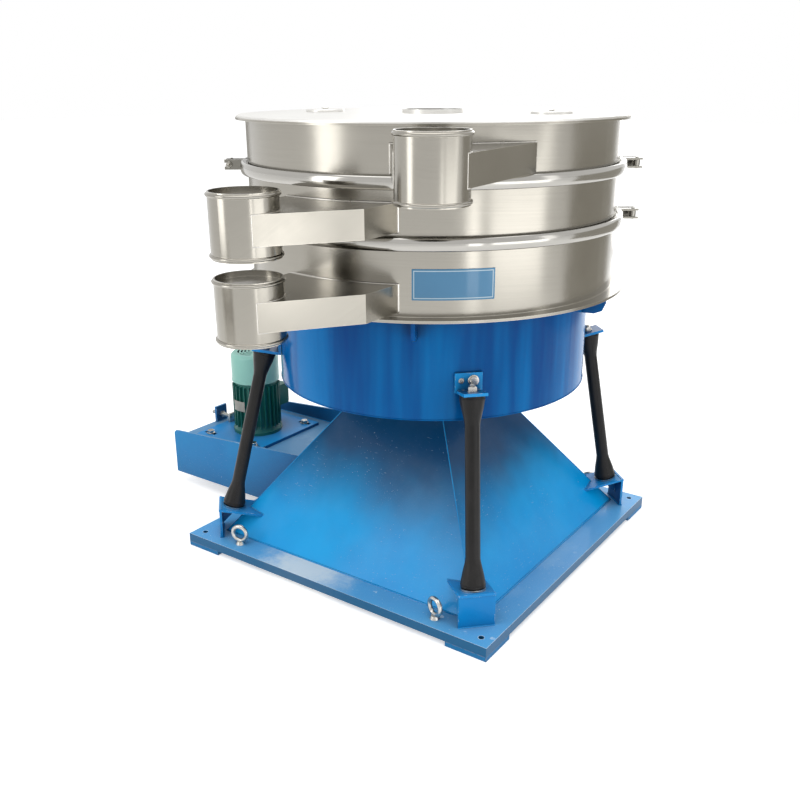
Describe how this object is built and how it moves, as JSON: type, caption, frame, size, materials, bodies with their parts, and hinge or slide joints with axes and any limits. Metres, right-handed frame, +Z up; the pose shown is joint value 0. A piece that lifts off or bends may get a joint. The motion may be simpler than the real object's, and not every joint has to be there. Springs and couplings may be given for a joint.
{
  "type": "tumbler screen",
  "caption": "Three-deck stainless swing screening machine on a blue drum, leaning rubber struts and a pyramid base with a side belt motor.",
  "frame": {"origin": "on the floor, at the centre of the four anchor bolts under the base", "axes": "+Z up along the main shaft; the motor stands on the -X side and the lower outlets point to -Y"},
  "size_m": [1.748, 1.6203, 1.4909],
  "materials": {
    "blue_paint": "gloss",
    "stainless": "satin",
    "stainless_bolt": "satin",
    "mesh": "satin",
    "gasket_rubber": "matte",
    "strut_rubber": "satin",
    "belt_rubber": "matte",
    "zinc_steel": "satin",
    "machined_steel": "machined",
    "cast_iron": "matte",
    "motor_green": "gloss",
    "cover_green": "gloss",
    "fan_plastic": "matte"
  },
  "bodies": {
    "base": {"base_frame": "blue_paint", "base_pads": "blue_paint", "pedestal": "blue_paint", "pedestal_cap": "blue_paint", "bearing_housing": "cast_iron", "main_bearings": "machined_steel", "housing_bolts": "zinc_steel", "strut_feet": "blue_paint", "eye_bolts": "zinc_steel", "motor_channel": "blue_paint", "tension_nuts": "zinc_steel", "drive_belt": "belt_rubber", "motor_plate_bolts": "zinc_steel"},
    "main_shaft": {"main_shaft": "machined_steel", "main_pulley": "cast_iron", "crank_head": "machined_steel", "balance_weight": "cast_iron"},
    "drum": {"drum_shell": "blue_paint", "drum_deck": "blue_paint", "crank_bearings": "machined_steel", "bottom_frame": "stainless", "bottom_pan": "stainless", "bottom_outlet": "stainless", "middle_frame": "stainless", "middle_outlet": "stainless", "top_frame": "stainless", "top_outlet": "stainless", "lower_screen_ring": "stainless", "lower_screen_mesh": "mesh", "upper_screen_ring": "stainless", "upper_screen_mesh": "mesh", "screen_gaskets": "gasket_rubber", "lower_clamp_band": "stainless", "upper_clamp_band": "stainless", "strut_head_brackets": "blue_paint", "strut_head_bolts": "zinc_steel"},
    "lid": {"lid": "stainless"},
    "port_cap_left": {"port_cap_left": "stainless"},
    "port_cap_right": {"port_cap_right": "stainless"},
    "motor_carriage": {"motor_plate": "blue_paint", "motor_body": "motor_green", "fan_cover": "cover_green", "terminal_box": "motor_green", "tension_rod": "zinc_steel"},
    "motor_rotor": {"motor_shaft": "machined_steel", "motor_pulley": "cast_iron", "motor_fan": "fan_plastic"},
    "strut_foot_1": {"foot_washer_1": "zinc_steel"},
    "strut_1": {"strut_1": "strut_rubber"},
    "strut_foot_2": {"foot_washer_2": "zinc_steel"},
    "strut_2": {"strut_2": "strut_rubber"},
    "strut_foot_3": {"foot_washer_3": "zinc_steel"},
    "strut_3": {"strut_3": "strut_rubber"},
    "strut_foot_4": {"foot_washer_4": "zinc_steel"},
    "strut_4": {"strut_4": "strut_rubber"},
    "lower_swing_bolt_right": {"lower_swing_bolt_right": "stainless_bolt"},
    "lower_swing_bolt_left": {"lower_swing_bolt_left": "stainless_bolt"},
    "upper_swing_bolt_right": {"upper_swing_bolt_right": "stainless_bolt"},
    "upper_swing_bolt_left": {"upper_swing_bolt_left": "stainless_bolt"}
  },
  "joints": [
    {"name": "main_shaft_spin", "type": "hinge", "parent": "base", "child": "main_shaft", "pos_m": [0, 0, 0.4], "axis": [0, 0, 1], "continuous": true},
    {"name": "drum_gyration", "type": "hinge", "parent": "main_shaft", "child": "drum", "pos_m": [0, 0.025, 0.711], "axis": [0, -0.0092, 1], "continuous": true},
    {"name": "strut_1_cone", "type": "hinge", "parent": "base", "child": "strut_foot_1", "pos_m": [0.49497, 0.49497, 0.15], "axis": [-0.1479, -0.1479, 0.9779], "continuous": true},
    {"name": "strut_1_roll", "type": "hinge", "parent": "strut_foot_1", "child": "strut_1", "pos_m": [0.49497, 0.49497, 0.15], "axis": [-0.1482, -0.1047, 0.9834], "continuous": true},
    {"name": "strut_2_cone", "type": "hinge", "parent": "base", "child": "strut_foot_2", "pos_m": [-0.49497, 0.49497, 0.15], "axis": [0.1479, -0.1479, 0.9779], "continuous": true},
    {"name": "strut_2_roll", "type": "hinge", "parent": "strut_foot_2", "child": "strut_2", "pos_m": [-0.49497, 0.49497, 0.15], "axis": [0.1482, -0.1047, 0.9834], "continuous": true},
    {"name": "strut_3_cone", "type": "hinge", "parent": "base", "child": "strut_foot_3", "pos_m": [-0.49497, -0.49497, 0.15], "axis": [0.1479, 0.1479, 0.9779], "continuous": true},
    {"name": "strut_3_roll", "type": "hinge", "parent": "strut_foot_3", "child": "strut_3", "pos_m": [-0.49497, -0.49497, 0.15], "axis": [0.1473, 0.1908, 0.9705], "continuous": true},
    {"name": "strut_4_cone", "type": "hinge", "parent": "base", "child": "strut_foot_4", "pos_m": [0.49497, -0.49497, 0.15], "axis": [-0.1479, 0.1479, 0.9779], "continuous": true},
    {"name": "strut_4_roll", "type": "hinge", "parent": "strut_foot_4", "child": "strut_4", "pos_m": [0.49497, -0.49497, 0.15], "axis": [-0.1473, 0.1908, 0.9705], "continuous": true},
    {"name": "motor_tension", "type": "slide", "parent": "base", "child": "motor_carriage", "axis": [-1, 0, 0], "range_m": [-0.015, 0]},
    {"name": "motor_spin", "type": "hinge", "parent": "motor_carriage", "child": "motor_rotor", "pos_m": [-0.842, 0, 0.3], "axis": [0, 0, 1], "continuous": true},
    {"name": "lid_lift", "type": "slide", "parent": "drum", "child": "lid", "axis": [0, -0.0092, 1], "range_m": [0, 0.3]},
    {"name": "port_cap_right_lift", "type": "slide", "parent": "lid", "child": "port_cap_right", "axis": [0, -0.0092, 1], "range_m": [0, 0.12]},
    {"name": "port_cap_left_lift", "type": "slide", "parent": "lid", "child": "port_cap_left", "axis": [0, -0.0092, 1], "range_m": [0, 0.12]},
    {"name": "lower_swing_bolt_right_hinge", "type": "hinge", "parent": "drum", "child": "lower_swing_bolt_right", "pos_m": [0.55965, 0.381, 1.1603], "axis": [0, 0.0092, -1], "range_deg": [0, 100]},
    {"name": "lower_swing_bolt_left_hinge", "type": "hinge", "parent": "drum", "child": "lower_swing_bolt_left", "pos_m": [-0.55965, -0.33923, 1.15366], "axis": [0, 0.0092, -1], "range_deg": [0, 100]},
    {"name": "upper_swing_bolt_right_hinge", "type": "hinge", "parent": "drum", "child": "upper_swing_bolt_right", "pos_m": [0.55965, 0.3795, 1.32329], "axis": [0, 0.0092, -1], "range_deg": [0, 100]},
    {"name": "upper_swing_bolt_left_hinge", "type": "hinge", "parent": "drum", "child": "upper_swing_bolt_left", "pos_m": [-0.55965, -0.34073, 1.31665], "axis": [0, 0.0092, -1], "range_deg": [0, 100]}
  ],
  "couplings": [
    {"joint": "drum_gyration", "follows": "main_shaft_spin", "ratio": -1},
    {"joint": "strut_1_cone", "follows": "main_shaft_spin", "ratio": 1},
    {"joint": "strut_1_roll", "follows": "main_shaft_spin", "ratio": -1},
    {"joint": "strut_2_cone", "follows": "main_shaft_spin", "ratio": 1},
    {"joint": "strut_2_roll", "follows": "main_shaft_spin", "ratio": -1},
    {"joint": "strut_3_cone", "follows": "main_shaft_spin", "ratio": 1},
    {"joint": "strut_3_roll", "follows": "main_shaft_spin", "ratio": -1},
    {"joint": "strut_4_cone", "follows": "main_shaft_spin", "ratio": 1},
    {"joint": "strut_4_roll", "follows": "main_shaft_spin", "ratio": -1},
    {"joint": "motor_spin", "follows": "main_shaft_spin", "ratio": 6.7143}
  ]
}
